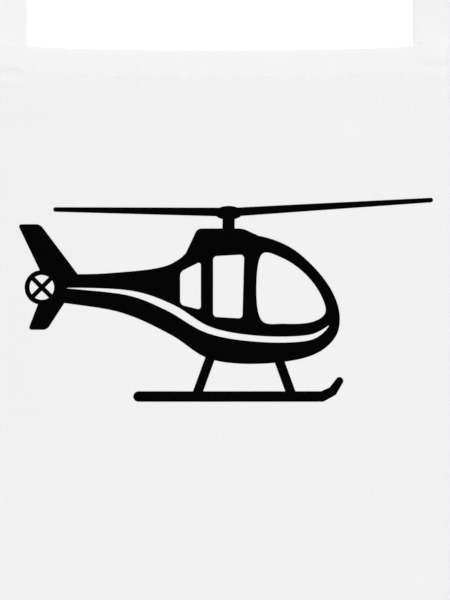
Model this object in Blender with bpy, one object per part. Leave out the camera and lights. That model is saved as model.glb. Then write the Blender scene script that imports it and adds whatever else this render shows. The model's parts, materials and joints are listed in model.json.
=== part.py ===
"""White cotton bib apron with a black helicopter sign printed on its bib, hung by its neck strap.

The cloth is one piece from the bib's top edge to the bottom hem. The print faces -Y, +Z is up,
and the origin is the middle of the underside of the neck strap's level top run.
"""

from functools import lru_cache
from math import asin, cos, pi, radians, sin, sqrt

import bmesh
import bpy
from mathutils import Vector

# Cloth, in metres
BIB_HALF = 0.140
BIB_HEIGHT = 0.300
SKIRT_HALF = 0.350
SKIRT_HEIGHT = 0.550
CLOTH_HEIGHT = BIB_HEIGHT + SKIRT_HEIGHT
CLOTH = 0.0006
ARMHOLE_END = radians(70)
TOP_HEM = 0.015
BOTTOM_HEM = 0.020
SIDE_HEM = 0.010
WIDEST_CORNER_HEM = 0.022
HEM = 0.0010
GAP = 0.0003

# Straps
STRAP_WIDTH = 0.028
STRAP = 0.0012
STRAP_SPAN = 0.126
STRAP_RISE = 0.235
STRAP_BEND = 0.022
TIE_WIDTH = 0.026
TIE_LENGTH = 0.700

# The straps and ties bend where they leave the cloth: each free end stops this short of the bend
BEND_CLEAR = 0.00045
BEND_ABOVE_EDGE = 0.003
BEND_END = 0.0006
BEND_TAPER = 0.0015

# Hang of the cloth: the top edge drops beside the straps and sags between them
EDGE_STEP = 0.0026
EDGE_RAMP = (0.0025, 0.0060)
EDGE_SAG = 0.0023
SAG_LEFT_BELOW = 0.4
SAG_FADE = 0.2
WING_DROOP = 0.020
DROOP_FROM = (0.15, 0.05)
FOLD_TOP = 0.02
FOLD_AT_WAIST = 0.84
FOLD_START = 0.115
FOLD_START_AT_HEM = 0.045
FOLD_RAMP = 0.07
FOLD_WIDENING = 0.15
FOLD_MEANDER = 0.08
MEANDER_LENGTH = 0.56
# side: folds' wavelength along the cloth at the waist, swing of the cloth's heading in radians
FOLDS = {-1: (0.158, 1.12), 1: (0.176, 1.05)}
EDGE_FLAT = 0.018
EDGE_EASE = 0.0216
BALANCE_TOP = 0.22

# Layers behind the panel's middle, from the front
HEM_MIDDLE = CLOTH / 2 + GAP + HEM / 2
STRAP_MIDDLE = HEM_MIDDLE + HEM / 2 + GAP + STRAP / 2
PANEL_Y = -STRAP_MIDDLE

# Adjuster on the strap at the viewer's right
TAB_LENGTH = 0.065
RING_WIRE = 0.00125
RING_WINDOW = (0.030, 0.010)
RING_CORNER = 0.003
RING_CORNER_STEPS = 4
SLIDER_WIRE = 0.0009
SLIDER_BAR_WIRE = 0.00088
SLIDER_HEIGHT = 0.020
SLIDER_CLEAR = 0.0005
SLIDER_CORNER = 0.0015
SLIDER_KNEE = (0.0008, 0.004)
SLIDER_BAR_REACH = 0.0015
SLIDER_ABOVE_RING = 0.055
LOOP_LEG = 0.012
TURN_LEG = 0.006
TAB_EASE = 0.020
TAB_FRONT_CLEAR = 0.006

# Print
PRINT_MIDDLE = (0.0029, 0.1453)
PRINT_FILM = 0.0002
MM = 0.001

# Label
LABEL_WIDTH = 0.030
LABEL_FALL = 0.024
LABEL_THICK = 0.0004
LABEL_TOP = 0.004

BEND_Z = -STRAP_RISE + BEND_ABOVE_EDGE
RING_TURN = RING_WIRE + GAP + STRAP / 2
RING_LOW = -STRAP_RISE + TAB_LENGTH - RING_TURN - STRAP / 2
RING_HIGH = RING_LOW + RING_WINDOW[1] + 2 * RING_WIRE
RING_Y = -0.00075
MAIN_Y = RING_Y + RING_TURN
SLIDER_Z = RING_HIGH + SLIDER_ABOVE_RING
SLIDER_TURN = SLIDER_WIRE + GAP + STRAP / 2
SLIDER_BAR_Y = MAIN_Y - STRAP / 2 - GAP - STRAP / 2 - SLIDER_TURN
SLIDER_BACK_Y = MAIN_Y + STRAP / 2 + GAP + SLIDER_WIRE

for thing in list(bpy.data.objects):
    bpy.data.objects.remove(thing, do_unlink=True)


def make_material(name, color, roughness, metallic=0.0):
    material = bpy.data.materials.new(name)
    material.use_nodes = True
    shader = material.node_tree.nodes["Principled BSDF"]
    shader.inputs["Base Color"].default_value = (*color, 1)
    shader.inputs["Roughness"].default_value = roughness
    shader.inputs["Metallic"].default_value = metallic
    return material


COTTON = make_material("cotton", (0.88, 0.88, 0.88), 0.9)
WEBBING = make_material("webbing", (0.89, 0.89, 0.89), 0.9)
INK = make_material("ink", (0.01, 0.01, 0.01), 0.6)
METAL = make_material("metal", (0.75, 0.75, 0.76), 0.3, 1.0)
LABEL = make_material("label", (0.9, 0.9, 0.89), 0.6)


def place(name, bm, material):
    """Make the bmesh an object with its faces pointing out."""
    bmesh.ops.recalc_face_normals(bm, faces=bm.faces)
    mesh = bpy.data.meshes.new(name)
    bm.to_mesh(mesh)
    bm.free()
    mesh.materials.append(material)
    piece = bpy.data.objects.new(name, mesh)
    bpy.context.scene.collection.objects.link(piece)
    return piece


def smooth(low, high, value):
    t = min(max((value - low) / (high - low), 0.0), 1.0)
    return t * t * (3 - 2 * t)


def slab(name, rows, material):
    """Closed solid between a front and a back grid; rows hold (front point, back point) pairs."""
    bm = bmesh.new()
    grids = [[[bm.verts.new(pair[side]) for pair in row] for row in rows] for side in (0, 1)]
    last_row, last_column = len(rows) - 1, len(rows[0]) - 1
    for i in range(last_row):
        for j in range(last_column):
            for grid in grids:
                bm.faces.new((grid[i][j], grid[i][j + 1], grid[i + 1][j + 1]))
                bm.faces.new((grid[i][j], grid[i + 1][j + 1], grid[i + 1][j]))
    front, back = grids
    for i in range(last_row):
        for j in (0, last_column):
            bm.faces.new((front[i][j], front[i + 1][j], back[i + 1][j], back[i][j]))
    for j in range(last_column):
        for i in (0, last_row):
            bm.faces.new((front[i][j], front[i][j + 1], back[i][j + 1], back[i][j]))
    return place(name, bm, material)


def half_width(depth):
    """Half the cloth's width at a depth under the top edge: arced armholes, then straight sides."""
    if depth >= BIB_HEIGHT:
        return SKIRT_HALF
    turn = asin(depth / BIB_HEIGHT * sin(ARMHOLE_END))
    return BIB_HALF + (SKIRT_HALF - BIB_HALF) * (1 - cos(turn)) / (1 - cos(ARMHOLE_END))


def heading(side, s, depth):
    """Angle between the cloth's level line and X, seen from above, s from the middle."""
    wave, swing = FOLDS[side]
    lower = smooth(BIB_HEIGHT, CLOTH_HEIGHT, depth)
    start = FOLD_START + (FOLD_START_AT_HEM - FOLD_START) * lower
    rise = smooth(start, start + FOLD_RAMP, s)
    fall = 1 - smooth(SKIRT_HALF - EDGE_FLAT - EDGE_EASE, SKIRT_HALF - EDGE_FLAT, s)
    grown = smooth(FOLD_TOP, BIB_HEIGHT, depth) * (FOLD_AT_WAIST + (1 - FOLD_AT_WAIST) * lower)
    meander = FOLD_MEANDER * lower * sin(2 * pi * depth / MEANDER_LENGTH + side)
    turns = (s - FOLD_START) / (wave * (1 + FOLD_WIDENING * lower)) + meander
    return -swing * grown * rise * fall * cos(2 * pi * turns)


FOLD_STEP = 0.0025
FOLD_COUNT = round(SKIRT_HALF / FOLD_STEP)
SLOPE_REACH = 0.0004


@lru_cache(maxsize=None)
def level_line(side, depth):
    """The cloth's level line at a depth, seen from above: a point every FOLD_STEP from the middle."""
    x = y = 0.0
    line = [(x, y)]
    for i in range(FOLD_COUNT + 1):
        angle = heading(side, (i + 0.5) * FOLD_STEP, depth)
        x += cos(angle) * FOLD_STEP
        y += sin(angle) * FOLD_STEP
        line.append((x, y))
    return line


@lru_cache(maxsize=None)
def balance(depth):
    """How far the middle moves back at a depth, so that the cloth's weight hangs under its straps."""
    ys = [y for side in (-1, 1) for _, y in level_line(side, depth)]
    return -sum(ys) / len(ys) * smooth(BALANCE_TOP, CLOTH_HEIGHT, depth)


def cloth_point(u, depth):
    """Where the cloth's point u across and depth down hangs."""
    side = 1 if u > 0 else -1
    s = abs(u)
    line = level_line(side, depth)
    i = int(s / FOLD_STEP)
    part = s / FOLD_STEP - i
    x = line[i][0] * (1 - part) + line[i + 1][0] * part
    y = line[i][1] * (1 - part) + line[i + 1][1] * part
    held = 1 - (1 - SAG_LEFT_BELOW) * smooth(0, SAG_FADE, depth)
    inner = STRAP_SPAN - STRAP_WIDTH / 2
    pulled = smooth(inner - EDGE_RAMP[0], inner + EDGE_RAMP[1], s)
    sag = EDGE_STEP * (1 - pulled) + EDGE_SAG * (1 - min(s / inner, 1.0) ** 3)
    droop = WING_DROOP * smooth(DROOP_FROM[0], SKIRT_HALF, s) * smooth(DROOP_FROM[1], BIB_HEIGHT, depth)
    return Vector((side * x, PANEL_Y + y + balance(depth), -STRAP_RISE - depth - sag * held - droop))


def cloth_normal(u, depth):
    """The cloth's direction out of its back."""
    across = cloth_point(u + SLOPE_REACH, depth) - cloth_point(u - SLOPE_REACH, depth)
    down = cloth_point(u, depth + SLOPE_REACH) - cloth_point(u, depth - SLOPE_REACH)
    return across.cross(down).normalized()


def armhole_slope(depth):
    low, high = max(depth - SLOPE_REACH, 0), min(depth + SLOPE_REACH, BIB_HEIGHT)
    return (half_width(high) - half_width(low)) / (high - low)


def side_hem_across(depth):
    """Width of the side hem along u, so that it keeps its width square to the edge."""
    if depth > BIB_HEIGHT:
        return SIDE_HEM
    return min(SIDE_HEM * sqrt(1 + armhole_slope(depth) ** 2), WIDEST_CORNER_HEM)


ARMHOLE_STEPS = 14
SKIRT_STEPS = 10
COLUMNS = 50
COLUMN_STEP = 2 * (SKIRT_HALF - SIDE_HEM) / COLUMNS
NARROWEST_COLUMN = 0.0015
CORNER_ROW = 0.003

ARMHOLE_TURNS = [ARMHOLE_END * i / ARMHOLE_STEPS for i in range(1, ARMHOLE_STEPS + 1)]
ARMHOLE_ROWS = [BIB_HEIGHT * sin(turn) / sin(ARMHOLE_END) for turn in ARMHOLE_TURNS]
SKIRT_TOP = BIB_HEIGHT + CORNER_ROW
SKIRT_ROW = (CLOTH_HEIGHT - BOTTOM_HEM - SKIRT_TOP) / SKIRT_STEPS
SKIRT_ROWS = [SKIRT_TOP + SKIRT_ROW * i for i in range(SKIRT_STEPS + 1)]
ROWS = [0.0, TOP_HEM, *ARMHOLE_ROWS, *SKIRT_ROWS, CLOTH_HEIGHT]


def across_at(depth):
    """The columns' places at a depth: they keep their place along the folds and crowd in beside the hems."""
    edge = half_width(depth)
    inner = edge - side_hem_across(depth)
    half = COLUMNS // 2
    places = [min(j * COLUMN_STEP, inner - (half - j) * NARROWEST_COLUMN) for j in range(half + 1)]
    return [-edge, *[-place for place in reversed(places)], *places[1:], edge]


def between_hems(depth):
    """The columns from one side hem to the other, a gap short of each."""
    columns = across_at(depth)[1:-1]
    return [columns[0] + GAP, *columns[1:-1], columns[-1] - GAP]


def cloth_layer(name, depths, columns, inner, outer):
    """Solid layer of cloth between two distances behind the panel's middle."""
    rows = []
    for depth in depths:
        row = []
        for u in columns(depth):
            point, out = cloth_point(u, depth), cloth_normal(u, depth)
            row.append((point + out * inner, point + out * outer))
        rows.append(row)
    return slab(name, rows, COTTON)


def make_cloth():
    cloth_layer("apron_panel", ROWS, across_at, -CLOTH / 2, CLOTH / 2)
    inner, outer = HEM_MIDDLE - HEM / 2, HEM_MIDDLE + HEM / 2
    cloth_layer("top_hem", [0.0, TOP_HEM], between_hems, inner, outer)
    cloth_layer("bottom_hem", [CLOTH_HEIGHT - BOTTOM_HEM + GAP, CLOTH_HEIGHT], between_hems, inner, outer)
    armhole = [0.0, TOP_HEM, *ARMHOLE_ROWS]
    side_seam = [*SKIRT_ROWS, CLOTH_HEIGHT]
    for word, pick in (("left", slice(0, 2)), ("right", slice(-2, None))):
        cloth_layer(f"armhole_hem_{word}", armhole, lambda depth, p=pick: across_at(depth)[p], inner, outer)
        cloth_layer(f"side_hem_{word}", side_seam, lambda depth, p=pick: across_at(depth)[p], inner, outer)


def ribbon(name, stations, width):
    """Flat strap through stations of (middle, direction across, direction out of its face, thickness)."""
    rows = []
    for middle, across, out, thickness in stations:
        row = []
        for side in (-0.5, 0.5):
            point = middle + across * (side * width)
            row.append((point - out * (thickness / 2), point + out * (thickness / 2)))
        rows.append(row)
    return slab(name, rows, WEBBING)


X, Y, Z = Vector((1, 0, 0)), Vector((0, 1, 0)), Vector((0, 0, 1))


def strap_thickness(from_bend):
    """A strap thins to a soft hinge where it bends."""
    return BEND_END + (STRAP - BEND_END) * min(from_bend / BEND_TAPER, 1.0)


TWIST_LEFT = (-0.170, -0.040)
TWIST_RIGHT = (-0.073, -0.023)
BEND_STEPS = 8
TWIST_STEPS = 12
ROUND_STEPS = 8


def twisting_run(x, y_low, y_high, twist, outward):
    """Stations of the quarter twist, from its lower end up."""
    low, high = twist
    stations = []
    for i in range(TWIST_STEPS + 1):
        part = i / TWIST_STEPS
        turned = pi / 2 * smooth(0, 1, part)
        y = y_low + (y_high - y_low) * smooth(0, 1, part)
        across = Vector((cos(turned), outward * sin(turned), 0))
        stations.append((Vector((x, y, low + (high - low) * part)), across, across.cross(Z), STRAP))
    return stations


def make_neck_strap():
    bend_low = STRAP / 2 - STRAP_BEND
    start = BEND_Z + BEND_CLEAR
    stations = []
    for rise in (0, BEND_TAPER):
        stations.append((Vector((-STRAP_SPAN, 0, start + rise)), X, -Y, strap_thickness(rise)))
    stations += twisting_run(-STRAP_SPAN, 0, 0, TWIST_LEFT, -1)
    for side in (-1, 1):
        centre = Vector((side * (STRAP_SPAN - STRAP_BEND), 0, bend_low))
        arc = []
        for i in range(BEND_STEPS + 1):
            angle = pi / 2 * i / BEND_STEPS
            out = Vector((side * cos(angle), 0, sin(angle)))
            arc.append((centre + out * STRAP_BEND, -Y, out, STRAP))
        stations += arc if side < 0 else arc[::-1]
    right = twisting_run(STRAP_SPAN, MAIN_Y, 0, TWIST_RIGHT, 1)[::-1]
    stations += [(middle, -across, out, thick) for middle, across, out, thick in right]
    for i in range(ROUND_STEPS + 1):
        angle = pi * i / ROUND_STEPS
        outward = Vector((0, cos(angle), -sin(angle)))
        middle = Vector((STRAP_SPAN, RING_Y, RING_HIGH)) + outward * RING_TURN
        stations.append((middle, -X, -outward, STRAP))
    end = stations[-1]
    stations.append((end[0] + Z * TURN_LEG, end[1], end[2], STRAP))
    ribbon("neck_strap", stations, STRAP_WIDTH)


def make_adjuster():
    return_y = RING_Y - RING_TURN
    loop_y = SLIDER_BAR_Y - SLIDER_TURN
    low, high = RING_HIGH + TURN_LEG + GAP, SLIDER_Z - LOOP_LEG - GAP
    ribbon(
        "strap_return",
        [(Vector((STRAP_SPAN, y, z)), X, Y, STRAP) for y, z in ((return_y, low), (loop_y, high))],
        STRAP_WIDTH,
    )
    loop = [(Vector((STRAP_SPAN, loop_y, SLIDER_Z - LOOP_LEG)), X, -Y, STRAP)]
    for i in range(ROUND_STEPS + 1):
        angle = pi * i / ROUND_STEPS
        out = Vector((0, -cos(angle), sin(angle)))
        loop.append((Vector((STRAP_SPAN, SLIDER_BAR_Y, SLIDER_Z)) + out * SLIDER_TURN, X, out, STRAP))
    loop.append((loop[-1][0] - Z * LOOP_LEG, X, Y, STRAP))
    ribbon("strap_end_loop", loop, STRAP_WIDTH)

    tab = []
    for rise in (0, BEND_TAPER):
        tab.append((Vector((STRAP_SPAN, 0, BEND_Z + BEND_CLEAR + rise)), X, Y, strap_thickness(rise)))
    tab.append((Vector((STRAP_SPAN, 0, BEND_Z + TAB_EASE)), X, Y, STRAP))
    for i in range(ROUND_STEPS + 1):
        angle = pi * i / ROUND_STEPS
        out = Vector((0, cos(angle), sin(angle)))
        tab.append((Vector((STRAP_SPAN, RING_Y, RING_LOW)) + out * RING_TURN, X, out, STRAP))
    for rise in (TAB_EASE, TAB_FRONT_CLEAR):
        tab.append((Vector((STRAP_SPAN, -STRAP - GAP, BEND_Z + rise)), X, -Y, STRAP))
    ribbon("strap_tab", tab, STRAP_WIDTH)

    for word, x in (("left", -STRAP_SPAN), ("right", STRAP_SPAN)):
        sewn = []
        for fall in (0, BEND_TAPER):
            sewn.append((Vector((x, 0, BEND_Z - BEND_CLEAR - fall)), X, Y, strap_thickness(fall)))
        sewn.append((Vector((x, 0, -STRAP_RISE - TOP_HEM)), X, Y, STRAP))
        ribbon(f"sewn_strap_end_{word}", sewn, STRAP_WIDTH)


def wire(name, points, radius, cyclic=True):
    curve = bpy.data.curves.new(name, "CURVE")
    curve.dimensions = "3D"
    curve.bevel_depth = radius
    curve.bevel_resolution = 2
    curve.use_fill_caps = True
    spline = curve.splines.new("POLY")
    spline.points.add(len(points) - 1)
    for spot, point in zip(spline.points, points):
        spot.co = (*point, 1)
    spline.use_cyclic_u = cyclic
    curve.materials.append(METAL)
    piece = bpy.data.objects.new(name, curve)
    bpy.context.scene.collection.objects.link(piece)
    return piece


def as_mesh(piece):
    """Swap a curve object for a mesh object of the same name."""
    bpy.context.view_layer.update()
    evaluated = piece.evaluated_get(bpy.context.evaluated_depsgraph_get())
    mesh = bpy.data.meshes.new_from_object(evaluated)
    name = piece.name
    bpy.data.objects.remove(piece, do_unlink=True)
    solid = bpy.data.objects.new(name, mesh)
    bpy.context.scene.collection.objects.link(solid)
    return solid


def combine(target, tool, operation):
    """Boolean that leaves its tool out of the model."""
    tool.hide_render = True
    tool.display_type = "WIRE"
    modifier = target.modifiers.new(tool.name, "BOOLEAN")
    modifier.operation = operation
    modifier.solver = "EXACT"
    modifier.object = tool


def make_ring():
    half_x = RING_WINDOW[0] / 2 + RING_WIRE
    half_z = RING_WINDOW[1] / 2 + RING_WIRE
    middle_z = (RING_LOW + RING_HIGH) / 2
    points = []
    for corner in range(4):
        side_x = 1 if corner in (0, 3) else -1
        side_z = 1 if corner in (0, 1) else -1
        for i in range(RING_CORNER_STEPS + 1):
            angle = pi / 2 * (corner + i / RING_CORNER_STEPS)
            x = side_x * (half_x - RING_CORNER) + RING_CORNER * cos(angle)
            z = side_z * (half_z - RING_CORNER) + RING_CORNER * sin(angle)
            points.append((STRAP_SPAN + x, RING_Y, middle_z + z))
    wire("ring", points, RING_WIRE)


def make_slider():
    half_x = STRAP_WIDTH / 2 + SLIDER_CLEAR + SLIDER_WIRE
    half_z = SLIDER_HEIGHT / 2 - SLIDER_WIRE
    side = (
        (SLIDER_BACK_Y, half_z - SLIDER_CORNER),
        (SLIDER_BACK_Y - SLIDER_KNEE[0], half_z - SLIDER_KNEE[1]),
        (SLIDER_BAR_Y, SLIDER_BAR_REACH),
        (SLIDER_BAR_Y, -SLIDER_BAR_REACH),
        (SLIDER_BACK_Y - SLIDER_KNEE[0], SLIDER_KNEE[1] - half_z),
        (SLIDER_BACK_Y, SLIDER_CORNER - half_z),
    )
    inset = half_x - SLIDER_CORNER
    points = [(STRAP_SPAN + inset, SLIDER_BACK_Y, SLIDER_Z + half_z)]
    points += [(STRAP_SPAN + half_x, y, SLIDER_Z + z) for y, z in side]
    points += [(STRAP_SPAN + sign * inset, SLIDER_BACK_Y, SLIDER_Z - half_z) for sign in (1, -1)]
    points += [(STRAP_SPAN - half_x, y, SLIDER_Z + z) for y, z in reversed(side)]
    points.append((STRAP_SPAN - inset, SLIDER_BACK_Y, SLIDER_Z + half_z))
    frame = as_mesh(wire("slider", points, SLIDER_WIRE))
    ends = [(STRAP_SPAN + sign * half_x, SLIDER_BAR_Y, SLIDER_Z) for sign in (-1, 1)]
    bar = as_mesh(wire("slider_bar", ends, SLIDER_BAR_WIRE, cyclic=False))
    combine(frame, bar, "UNION")


TIE_SEWN = 0.017
TIE_OUT = 0.024
TIE_FOLD = 0.002
TIE_DROP = 0.030
TIE_LINES = 10
TIE_TOP = BIB_HEIGHT + 0.005
TIE_FOLD_MARGIN = 0.001
TIE_FOLD_STEPS = 14


def tie_frame(side):
    """Middle of the tie's diagonal fold and its plane behind the waist corner's hem."""
    corner = cloth_point(side * SKIRT_HALF, TIE_TOP + TIE_WIDTH / 2)
    return Vector((corner.x + side * TIE_OUT, corner.y + STRAP_MIDDLE, corner.z))


def folded_point(side, along, across):
    """Point of the tie, folded down over a small roll along its 45 degree line, and its direction out."""
    along_fold, over_fold = (along - across) / sqrt(2), (along + across) / sqrt(2)
    fold_line = Vector((side, 0, -1)) / sqrt(2)
    beyond = Vector((side, 0, 1)) / sqrt(2)
    middle = tie_frame(side) + fold_line * along_fold
    half_turn = pi * TIE_FOLD
    if over_fold <= 0:
        return middle + beyond * over_fold, Y
    if over_fold < half_turn:
        angle = over_fold / TIE_FOLD
        point = middle + beyond * (TIE_FOLD * sin(angle)) + Y * (TIE_FOLD * (1 - cos(angle)))
        return point, Y * cos(angle) - beyond * sin(angle)
    return middle - beyond * (over_fold - half_turn) + Y * (2 * TIE_FOLD), -Y


def make_tie(word, side):
    start = -TIE_OUT - TIE_SEWN
    half = TIE_WIDTH / 2
    plain = -half - TIE_FOLD_MARGIN
    last = half + pi * TIE_FOLD * sqrt(2) + TIE_DROP
    fold_end = half + pi * TIE_FOLD * sqrt(2) + TIE_FOLD_MARGIN
    lengths = [start, plain]
    lengths += [plain + (fold_end - plain) * i / TIE_FOLD_STEPS for i in range(1, TIE_FOLD_STEPS + 1)]
    lengths += [last - BEND_TAPER, last]
    rows = []
    for along in lengths:
        thickness = strap_thickness(last - along)
        row = []
        for j in range(TIE_LINES + 1):
            point, out = folded_point(side, along, TIE_WIDTH * (j / TIE_LINES - 0.5))
            row.append((point - out * (thickness / 2), point + out * (thickness / 2)))
        rows.append(row)
    slab(f"tie_end_{word}", rows, WEBBING)

    bend, _ = folded_point(side, last, 0)
    top = bend - Z * (2 * BEND_CLEAR)
    falls = (0, BEND_TAPER, TIE_LENGTH - (last - start))
    stations = [(top - Z * fall, X, Y, strap_thickness(fall)) for fall in falls]
    ribbon(f"waist_tie_{word}", stations, TIE_WIDTH)


def oval(x, z, radius_x, radius_z, count=28):
    turns = [2 * pi * i / count for i in range(count)]
    return [(x + radius_x * cos(turn), z + radius_z * sin(turn)) for turn in turns]


def bar(x0, z0, width0, x1, z1, width1, count=6):
    """Tapering bar with round ends between two points."""
    length = sqrt((x1 - x0) ** 2 + (z1 - z0) ** 2)
    ux, uz = (x1 - x0) / length, (z1 - z0) / length
    outline = []
    for x, z, radius, sign in ((x1, z1, width1 / 2, 1), (x0, z0, width0 / 2, -1)):
        for i in range(count + 1):
            angle = pi * (i / count - 0.5)
            forward, aside = sign * radius * cos(angle), sign * radius * sin(angle)
            outline.append((x + ux * forward - uz * aside, z + uz * forward + ux * aside))
    return outline


def curve(*points, count=4):
    """Smooth closed line through the points."""
    outline = []
    for i in range(len(points)):
        a, b, c, d = (Vector(points[(i + k) % len(points)]) for k in (-1, 0, 1, 2))
        for step in range(count):
            t = step / count
            bend = 2 * a - 5 * b + 4 * c - d + (3 * b - a - 3 * c + d) * t
            outline.append(tuple(b + (c - a + bend * t) * t / 2))
    return outline


# The sign's shapes in the order they are joined and cut, in millimetres from the print's middle
SIGN = (
    ("body", "UNION", curve(
        (-107, 13), (-70, 15), (-40, 18), (-27, 23), (-17, 32), (-2, 37), (18, 37), (36, 31), (50, 20),
        (61, 6), (66, -8), (64, -21), (53, -31), (34, -36), (8, -37), (-12, -33), (-32, -20), (-62, -7),
        (-107, 1),
    )),
    ("fin", "UNION", [(-101, 4), (-120, 43.5), (-107, 43.5), (-84, 13)]),
    ("low_fin", "UNION", [(-104, 8), (-114, -17.5), (-103, -17.5), (-89, 4)]),
    ("tail_disc", "UNION", oval(-106, 7, 10, 10)),
    ("tail_hole", "DIFFERENCE", oval(-106, 7, 7.2, 7.2)),
    ("tail_blade_1", "UNION", bar(-111, 12, 2.6, -101, 2, 2.6)),
    ("tail_blade_2", "UNION", bar(-111, 2, 2.6, -101, 12, 2.6)),
    ("cowling", "UNION", [(-24, 24), (-16, 41), (10, 41), (30, 32)]),
    ("mast", "UNION", bar(2, 36, 7, 2, 50, 7)),
    ("hub", "UNION", oval(2, 50, 8, 4)),
    ("rear_blade", "UNION", bar(-98, 52, 2.6, -2, 50.5, 5)),
    ("front_blade", "UNION", bar(6, 50.5, 5, 118.7, 57.4, 2.6)),
    ("rear_strut", "UNION", bar(-8, -32, 5.5, -16, -54, 5.5)),
    ("front_strut", "UNION", bar(30, -32, 5.5, 38, -54, 5.5)),
    ("skid", "UNION", bar(-50, -56, 6, 56, -56, 6)),
    ("skid_bend", "UNION", bar(56, -56, 6, 62, -53, 5.4)),
    ("skid_nose", "UNION", bar(62, -53, 5.4, 66, -47, 4.4)),
    ("screen", "DIFFERENCE", curve(
        (21, 26), (33, 24), (45, 16), (54, 5), (58, -7), (50, -13), (34, -14), (21, -12), (18, 6),
    )),
    ("door_window", "DIFFERENCE", [(-7, 25), (11, 26), (10, -11), (-7, -10)]),
    ("rear_window", "DIFFERENCE", [(-26, 16), (-14, 22), (-14, -6), (-26, -3)]),
    ("stripe", "DIFFERENCE", curve(
        (-92, 6.6), (-55, 5.2), (-30, -3), (-8, -16), (20, -21), (48, -20.5), (60, -15), (49, -23.5),
        (20, -24.5), (-10, -19.5), (-34, -6.2), (-57, 2.6),
    )),
)


def sign_prism(name, outline, front, back):
    bm = bmesh.new()
    x0, depth0 = PRINT_MIDDLE
    z0 = cloth_point(0, depth0).z
    rings = [[bm.verts.new((x0 + x * MM, y, z0 + z * MM)) for x, z in outline] for y in (front, back)]
    for ring in rings:
        bm.faces.new(ring)
    for i in range(len(outline)):
        j = (i + 1) % len(outline)
        bm.faces.new((rings[0][i], rings[0][j], rings[1][j], rings[1][i]))
    return place(name, bm, INK)


def make_print():
    back = PANEL_Y - CLOTH / 2 - GAP
    front = back - PRINT_FILM
    film = sign_prism("helicopter_print", SIGN[0][2], front, back)
    for name, operation, outline in SIGN[1:]:
        past = GAP if operation == "DIFFERENCE" else 0
        combine(film, sign_prism(f"sign_{name}", outline, front - past, back + past), operation)


def make_label():
    """Blank sewn-in label behind the top hem."""
    front, half = -STRAP / 2, LABEL_WIDTH / 2
    top = cloth_point(0, LABEL_TOP).z
    rows = []
    for z in (top, top - LABEL_FALL):
        rows.append([(Vector((x, front, z)), Vector((x, front + LABEL_THICK, z))) for x in (-half, half)])
    slab("size_label", rows, LABEL)


make_cloth()
make_neck_strap()
make_adjuster()
make_ring()
make_slider()
make_tie("left", -1)
make_tie("right", 1)
make_print()
make_label()
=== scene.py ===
# White cotton bib apron with a black helicopter sign: the looks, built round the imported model
import json
from math import atan2, copysign, cos, pi, radians, sin, sqrt

import bmesh
import bpy
import numpy as np
from mathutils import Matrix, Vector, kdtree, noise


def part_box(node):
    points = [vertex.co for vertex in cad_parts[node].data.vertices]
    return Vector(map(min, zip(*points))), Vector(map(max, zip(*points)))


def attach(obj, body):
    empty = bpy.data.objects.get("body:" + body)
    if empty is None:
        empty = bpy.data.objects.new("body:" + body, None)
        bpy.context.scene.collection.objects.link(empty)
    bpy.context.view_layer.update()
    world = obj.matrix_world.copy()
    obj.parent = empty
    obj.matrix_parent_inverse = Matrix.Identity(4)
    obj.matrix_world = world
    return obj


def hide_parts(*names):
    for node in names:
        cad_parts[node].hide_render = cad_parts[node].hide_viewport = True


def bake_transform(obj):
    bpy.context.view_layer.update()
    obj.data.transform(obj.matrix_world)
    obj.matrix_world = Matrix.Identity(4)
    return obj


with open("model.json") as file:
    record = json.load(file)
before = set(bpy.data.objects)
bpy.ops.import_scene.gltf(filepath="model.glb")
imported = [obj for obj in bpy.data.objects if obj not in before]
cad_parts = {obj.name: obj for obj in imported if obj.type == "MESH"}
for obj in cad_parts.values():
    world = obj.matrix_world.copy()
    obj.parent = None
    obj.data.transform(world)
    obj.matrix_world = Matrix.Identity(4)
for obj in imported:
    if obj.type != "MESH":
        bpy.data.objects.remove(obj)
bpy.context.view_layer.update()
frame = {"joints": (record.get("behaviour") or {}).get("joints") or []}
print("frame loaded")


# Shader maths: a socket with Python's operators, each of which adds a Math node
class Wire:
    def __init__(self, tree, socket=None):
        self.tree, self.socket = tree, socket

    def node(self, kind, inputs={}, output=0, **settings):
        made = self.tree.nodes.new(kind)
        for name, value in settings.items():
            setattr(made, name, value)
        for name, value in inputs.items():
            if isinstance(value, Wire):
                self.tree.links.new(value.socket, made.inputs[name])
            else:
                made.inputs[name].default_value = value
        return Wire(self.tree, made.outputs[output])

    def math(self, operation, *values):
        return self.node("ShaderNodeMath", dict(enumerate(values)), operation=operation)

    __add__ = __radd__ = lambda self, other: self.math("ADD", self, other)
    __mul__ = __rmul__ = lambda self, other: self.math("MULTIPLY", self, other)
    __sub__ = lambda self, other: self.math("SUBTRACT", self, other)
    __rsub__ = lambda self, other: self.math("SUBTRACT", other, self)
    __truediv__ = lambda self, other: self.math("DIVIDE", self, other)
    __rtruediv__ = lambda self, other: self.math("DIVIDE", other, self)

    def within(self, least, more):  # 0 to 1 becomes least to least + more
        return self * more + least

    def wave(self):  # 0 to 1 and back, once for each whole number
        return self.math("SINE", self * (2 * pi)).within(0.5, 0.5)

    def clamped(self):
        return self.node("ShaderNodeClamp", {0: self})

    def parts(self, *axes):
        return [self.node("ShaderNodeSeparateXYZ", {0: self}, axis) for axis in axes]

    def noise(self, scale, detail=2.0):
        sized = self.node("ShaderNodeMapping", {"Vector": self, "Scale": scale})
        return self.node("ShaderNodeTexNoise", {"Vector": sized, "Scale": 1.0, "Detail": detail})

    def grey(self, tints=(1, 1, 1)):
        parts = [self if tint == 1 else self * tint for tint in tints]
        return self.node("ShaderNodeCombineColor", dict(enumerate(parts)))

    def bump(self, strength, distance):
        return self.node("ShaderNodeBump", {"Strength": strength, "Distance": distance, "Height": self})


def newMaterial(name, constants):
    material = bpy.data.materials.new(name)
    material.use_nodes = True
    for socket, value in constants.items():
        material.node_tree.nodes["Principled BSDF"].inputs[socket].default_value = value
    return material, Wire(material.node_tree)


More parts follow.
